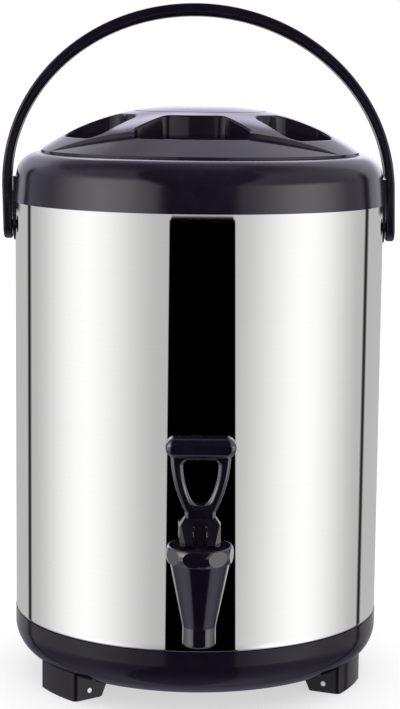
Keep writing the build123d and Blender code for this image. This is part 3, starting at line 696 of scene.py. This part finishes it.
def studio_world(scene):
    """World that is a studio in reflections, a plain sky to other light and white to the camera."""
    world = bpy.data.worlds.new("studio")
    scene.world = world
    world.use_nodes = True
    tree = world.node_tree
    tree.nodes.clear()
    coords = add(tree, "ShaderNodeTexCoord")
    way = add(tree, "ShaderNodeSeparateXYZ")
    wire(tree, coords.outputs["Generated"], way.inputs["Vector"])
    right_hand, back, up = (way.outputs[axis] for axis in "XYZ")
    turn = maths(tree, "ARCTAN2", right_hand, times(tree, back, -1.0))
    side = times(tree, plus(tree, turn, scene.dispenser_stage.azimuth), degrees(1))
    rise = times(tree, maths(tree, "ARCSINE", up), degrees(1))
    path = add(tree, "ShaderNodeLightPath")
    first = smooth(tree, path.outputs["Ray Depth"], *FIRST_BOUNCES)
    first = plus(tree, times(tree, first, 1 - LATER_SHARE), LATER_SHARE)
    sky = plus(tree, times(tree, smooth(tree, up, *SKY_SPREAD), SKY_GAIN), SKY_LOW)
    seen = mirrored_studio(tree, side, rise, right_hand, back)
    lit = blend(tree, path.outputs["Is Glossy Ray"], times(tree, sky, first), seen)
    shown = blend(tree, path.outputs["Is Camera Ray"], lit, WHITE)
    light = add(tree, "ShaderNodeBackground", Strength=1.0)
    wire(tree, shown, light.inputs["Color"])
    end = add(tree, "ShaderNodeOutputWorld")
    wire(tree, light.outputs["Background"], end.inputs["Surface"])


def front_camera(scene):
    """Camera at the photograph's viewing angle."""
    stage = scene.dispenser_stage
    data = bpy.data.cameras.new("camera")
    data.lens = stage.lens
    data.sensor_width = SENSOR_WIDTH
    data.clip_end = CAMERA_REACH
    eye = bpy.data.objects.new("camera", data)
    look = Matrix.Rotation(-stage.yaw, 4, "Z") @ Matrix.Rotation(pi / 2 - stage.pitch, 4, "X")
    look = look @ Matrix.Rotation(stage.roll, 4, "Z")
    place = Matrix.Translation((0, AXIS_Y, 0)) @ Matrix.Rotation(-stage.azimuth, 4, "Z")
    eye.matrix_world = place @ Matrix.Translation((0, -stage.distance, stage.height)) @ look
    scene.collection.objects.link(eye)
    scene.camera = eye


# Properties


class DispenserFinish(bpy.types.PropertyGroup):
    """Colours and polish of the dispenser's materials."""

    plastic: FloatVectorProperty(
        name="Plastic",
        description="Colour of the lid, shoulder, handle and base",
        subtype="COLOR",
        size=3,
        default=(0.0115, 0.0078, 0.0165),
        min=0,
        max=1,
    )
    tap: FloatVectorProperty(
        name="Tap",
        description="Colour of the tap and its lever",
        subtype="COLOR",
        size=3,
        default=(0.0080, 0.0056, 0.0125),
        min=0,
        max=1,
    )
    steel: FloatVectorProperty(
        name="Steel",
        description="Colour of the polished shell",
        subtype="COLOR",
        size=3,
        default=(0.95, 0.95, 0.945),
        min=0,
        max=1,
    )
    gloss: FloatProperty(
        name="Plastic roughness",
        description="Roughness of the moulded plastic",
        subtype="FACTOR",
        default=0.12,
        min=0,
        max=1,
    )


class DispenserSizes(bpy.types.PropertyGroup):
    """Sizes that only the visible pieces have."""

    segments: IntProperty(
        name="Segments",
        description="Steps round the barrel",
        default=192,
        min=48,
        max=512,
    )
    rolled_edge: FloatProperty(
        name="Rolled edge",
        description="Radius of the shell's rolled edges",
        subtype="DISTANCE",
        default=0.0011,
        min=0.0002,
        max=0.004,
    )
    spring_wire: FloatProperty(
        name="Spring wire",
        description="Diameter of the wire of the tap's spring",
        subtype="DISTANCE",
        default=0.0016,
        min=0.0005,
        max=0.003,
    )
    spring_turns: IntProperty(
        name="Spring turns",
        description="Turns of the tap's spring between its closed ends",
        default=5,
        min=2,
        max=12,
    )
    handle_lean: FloatProperty(
        name="Handle lean",
        description="Sideways lean of the handle for each metre of its height",
        default=-0.024,
        min=-0.1,
        max=0.1,
    )


class DispenserStage(bpy.types.PropertyGroup):
    """Camera and studio."""

    distance: FloatProperty(
        name="Distance",
        description="Camera's distance from the barrel's axis",
        subtype="DISTANCE",
        default=1.3943,
    )
    height: FloatProperty(
        name="Height",
        description="Camera's height above the floor",
        subtype="DISTANCE",
        default=0.4337,
    )
    pitch: FloatProperty(
        name="Pitch",
        description="How far the camera looks down",
        subtype="ANGLE",
        default=radians(8.295),
    )
    roll: FloatProperty(
        name="Roll",
        description="Tilt of the camera about its own view",
        subtype="ANGLE",
        default=radians(0.596),
    )
    azimuth: FloatProperty(
        name="Azimuth",
        description="How far the camera and the studio are turned to the left round the barrel",
        subtype="ANGLE",
        default=radians(0.9),
    )
    yaw: FloatProperty(
        name="Yaw",
        description="Turn of the camera to the right",
        subtype="ANGLE",
        default=radians(0.063),
    )
    lens: FloatProperty(
        name="Focal length",
        description="Lens for a sensor whose long side is 36 mm",
        subtype="DISTANCE_CAMERA",
        default=99.72,
    )


# Operators


class DISPENSER_OT_materials(bpy.types.Operator):
    """Make the materials and give every CAD node its own"""

    bl_idname = "dispenser.materials"
    bl_label = "Materials"

    def execute(self, context):
        look = context.scene.dispenser_finish
        moulded_skin()
        drawn_grain()
        gloss_plastic("aubergine_gloss", look.plastic, look.gloss, ripple=90.0, rub=0.05)
        gloss_plastic("base_gloss", look.plastic, look.gloss, ripple=90.0, rub=0.05, ior=1.36)
        gloss_plastic("tap_gloss", look.tap, look.gloss, ripple=160.0, rub=0.04, ior=2.05)
        gloss_plastic("lever_gloss", look.tap, look.gloss, ripple=160.0, rub=0.04, ior=2.2)
        gloss_plastic("stem_matt", look.tap, roughness=0.8, ripple=160.0, rub=0.04, ior=1.2)
        steel(
            "shell_polish",
            look.steel,
            roughness=0.012,
            spread=0.006,
            across=1400.0,
            along=8.0,
            depth=0.0000001,
        )
        steel(
            "pot_sheet",
            (0.72, 0.72, 0.71),
            roughness=0.28,
            spread=0.15,
            across=2200.0,
            along=20.0,
            depth=0.00001,
        )
        steel(
            "pin_wire",
            (0.70, 0.70, 0.69),
            roughness=0.22,
            spread=0.10,
            across=2500.0,
            along=300.0,
            depth=0.00001,
        )
        silicone("seal_silicone", (0.50, 0.50, 0.48))
        foam("cream_foam", (0.72, 0.60, 0.34))
        slots = {part["node"]: part["material_slot"] for part in frame["record"]["subparts"]}
        for name, node in frame["nodes"].items():
            finish = OWN_LOOKS.get(name, LOOKS[slots[name]])
            node.data.materials.clear()
            node.data.materials.append(bpy.data.materials[finish])
        for name in UNMIRRORED:
            frame["nodes"][name].visible_glossy = False
        return {"FINISHED"}


class DISPENSER_OT_shell(bpy.types.Operator):
    """Turn the polished steel shell with its rolled edges"""

    bl_idname = "dispenser.shell"
    bl_label = "Steel shell"

    def execute(self, context):
        sizes = context.scene.dispenser_sizes
        low, high = SHELL_LOW.z, SHELL_HIGH.z
        edge = sizes.rolled_edge
        turned_in = SHELL_R - 2 * edge
        straight = 1.5 * edge
        quarter = [pi / 2 * step / ROLL_STEPS for step in range(ROLL_STEPS + 1)]
        outline = [(turned_in, low)]
        for turn in quarter:
            outline.append((SHELL_R - edge + edge * sin(turn), low + edge - edge * cos(turn)))
        outline += [(SHELL_R, low + straight), (SHELL_R, high - straight)]
        for turn in quarter:
            outline.append((SHELL_R - edge + edge * cos(turn), high - edge + edge * sin(turn)))
        outline.append((turned_in, high))
        mesh = turn_profile(outline, AXIS_Y, sizes.segments)
        piece = finish_piece("steel_shell", mesh, "barrel", ["outer_shell"], "mirror_steel")
        crease(piece, SHELL_CREASE)
        return {"FINISHED"}


class DISPENSER_OT_handle(bpy.types.Operator):
    """Lean the bail handle a little to one side, as its springy strap stands"""

    bl_idname = "dispenser.handle"
    bl_label = "Bail handle"

    def execute(self, context):
        sizes = context.scene.dispenser_sizes
        pin_low, pin_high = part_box("pivot_pin_left")
        pivot_z = (pin_low.z + pin_high.z) / 2
        mesh = bmesh.new()
        mesh.from_mesh(frame["nodes"]["bail_handle"].data)
        bmesh.ops.remove_doubles(mesh, verts=mesh.verts, dist=MERGE)
        lean = Matrix.Identity(4)
        lean[0][2] = sizes.handle_lean
        about = Matrix.Translation((0, 0, -pivot_z))
        bmesh.ops.transform(mesh, matrix=lean, verts=mesh.verts, space=about)
        piece = finish_piece("bail_strap", mesh, "bail", ["bail_handle"], "aubergine_plastic")
        piece.visible_glossy = False
        crease(piece, STRAP_CREASE)
        return {"FINISHED"}


class DISPENSER_OT_spring(bpy.types.Operator):
    """Wind the coil spring that closes the tap"""

    bl_idname = "dispenser.spring"
    bl_label = "Tap spring"

    def execute(self, context):
        sizes = context.scene.dispenser_sizes
        low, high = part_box("tap_spring")
        centre = Vector(((low.x + high.x) / 2, (low.y + high.y) / 2, 0))
        length = high.z - low.z
        gauge = sizes.spring_wire
        radius = (high.x - low.x) / 2 - gauge / 2
        mesh = bmesh.new()
        place = Matrix.Translation((centre.x + radius, centre.y, low.z + gauge / 2))
        place = place @ Matrix.Rotation(pi / 2, 4, "X")
        ring = bmesh.ops.create_circle(
            mesh, segments=SPRING_WIRE_SIDES, radius=gauge / 2, matrix=place
        )["verts"]
        last = ring + list(mesh.edges)
        closed = (1, gauge)
        active = (sizes.spring_turns, length - 3 * gauge)
        for turns, climb in (closed, active, closed):
            steps = turns * SPRING_TURN_STEPS
            wound = bmesh.ops.spin(
                mesh,
                geom=last,
                cent=centre,
                axis=(0, 0, 1),
                dvec=(0, 0, climb / steps),
                angle=2 * pi * turns,
                steps=steps,
            )
            last = wound["geom_last"]
        bmesh.ops.remove_doubles(mesh, verts=mesh.verts, dist=MERGE)
        ends = [edge for edge in mesh.edges if edge.is_boundary]
        bmesh.ops.holes_fill(mesh, edges=ends, sides=0)
        bmesh.ops.recalc_face_normals(mesh, faces=mesh.faces)
        piece = finish_piece("coil_spring", mesh, "barrel", ["tap_spring"], "pin_steel")
        crease(piece, SPRING_CREASE)
        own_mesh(piece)
        return {"FINISHED"}


class DISPENSER_OT_stage(bpy.types.Operator):
    """Set up the floor, the studio light and the camera"""

    bl_idname = "dispenser.stage"
    bl_label = "Stage"

    def execute(self, context):
        scene = context.scene
        scene.view_settings.view_transform = "Standard"
        pale_floor()
        black_card()
        studio_world(scene)
        front_camera(scene)
        return {"FINISHED"}


STEPS = (
    DISPENSER_OT_materials,
    DISPENSER_OT_shell,
    DISPENSER_OT_handle,
    DISPENSER_OT_spring,
    DISPENSER_OT_stage,
)
GROUPS = {
    "dispenser_finish": DispenserFinish,
    "dispenser_sizes": DispenserSizes,
    "dispenser_stage": DispenserStage,
}


class DISPENSER_PT_sidebar(bpy.types.Panel):
    """Steps and values of the dispenser"""

    bl_idname = "DISPENSER_PT_sidebar"
    bl_label = "Dispenser"
    bl_space_type = "VIEW_3D"
    bl_region_type = "UI"
    bl_category = "Dispenser"

    def draw(self, context):
        for step in STEPS:
            self.layout.operator(step.bl_idname)
        for group_name, values in GROUPS.items():
            box = self.layout.box()
            for name in values.__annotations__:
                box.prop(getattr(context.scene, group_name), name)


def register():
    for values in GROUPS.values():
        bpy.utils.register_class(values)
    for name, values in GROUPS.items():
        setattr(bpy.types.Scene, name, PointerProperty(type=values))
    for step in STEPS:
        bpy.utils.register_class(step)
    bpy.utils.register_class(DISPENSER_PT_sidebar)


def unregister():
    bpy.utils.unregister_class(DISPENSER_PT_sidebar)
    for step in reversed(STEPS):
        bpy.utils.unregister_class(step)
    for name in GROUPS:
        delattr(bpy.types.Scene, name)
    for values in reversed(GROUPS.values()):
        bpy.utils.unregister_class(values)


def main():
    register()
    bpy.ops.dispenser.materials()
    bpy.ops.dispenser.shell()
    bpy.ops.dispenser.handle()
    bpy.ops.dispenser.spring()
    bpy.ops.dispenser.stage()


if __name__ == "__main__":
    main()
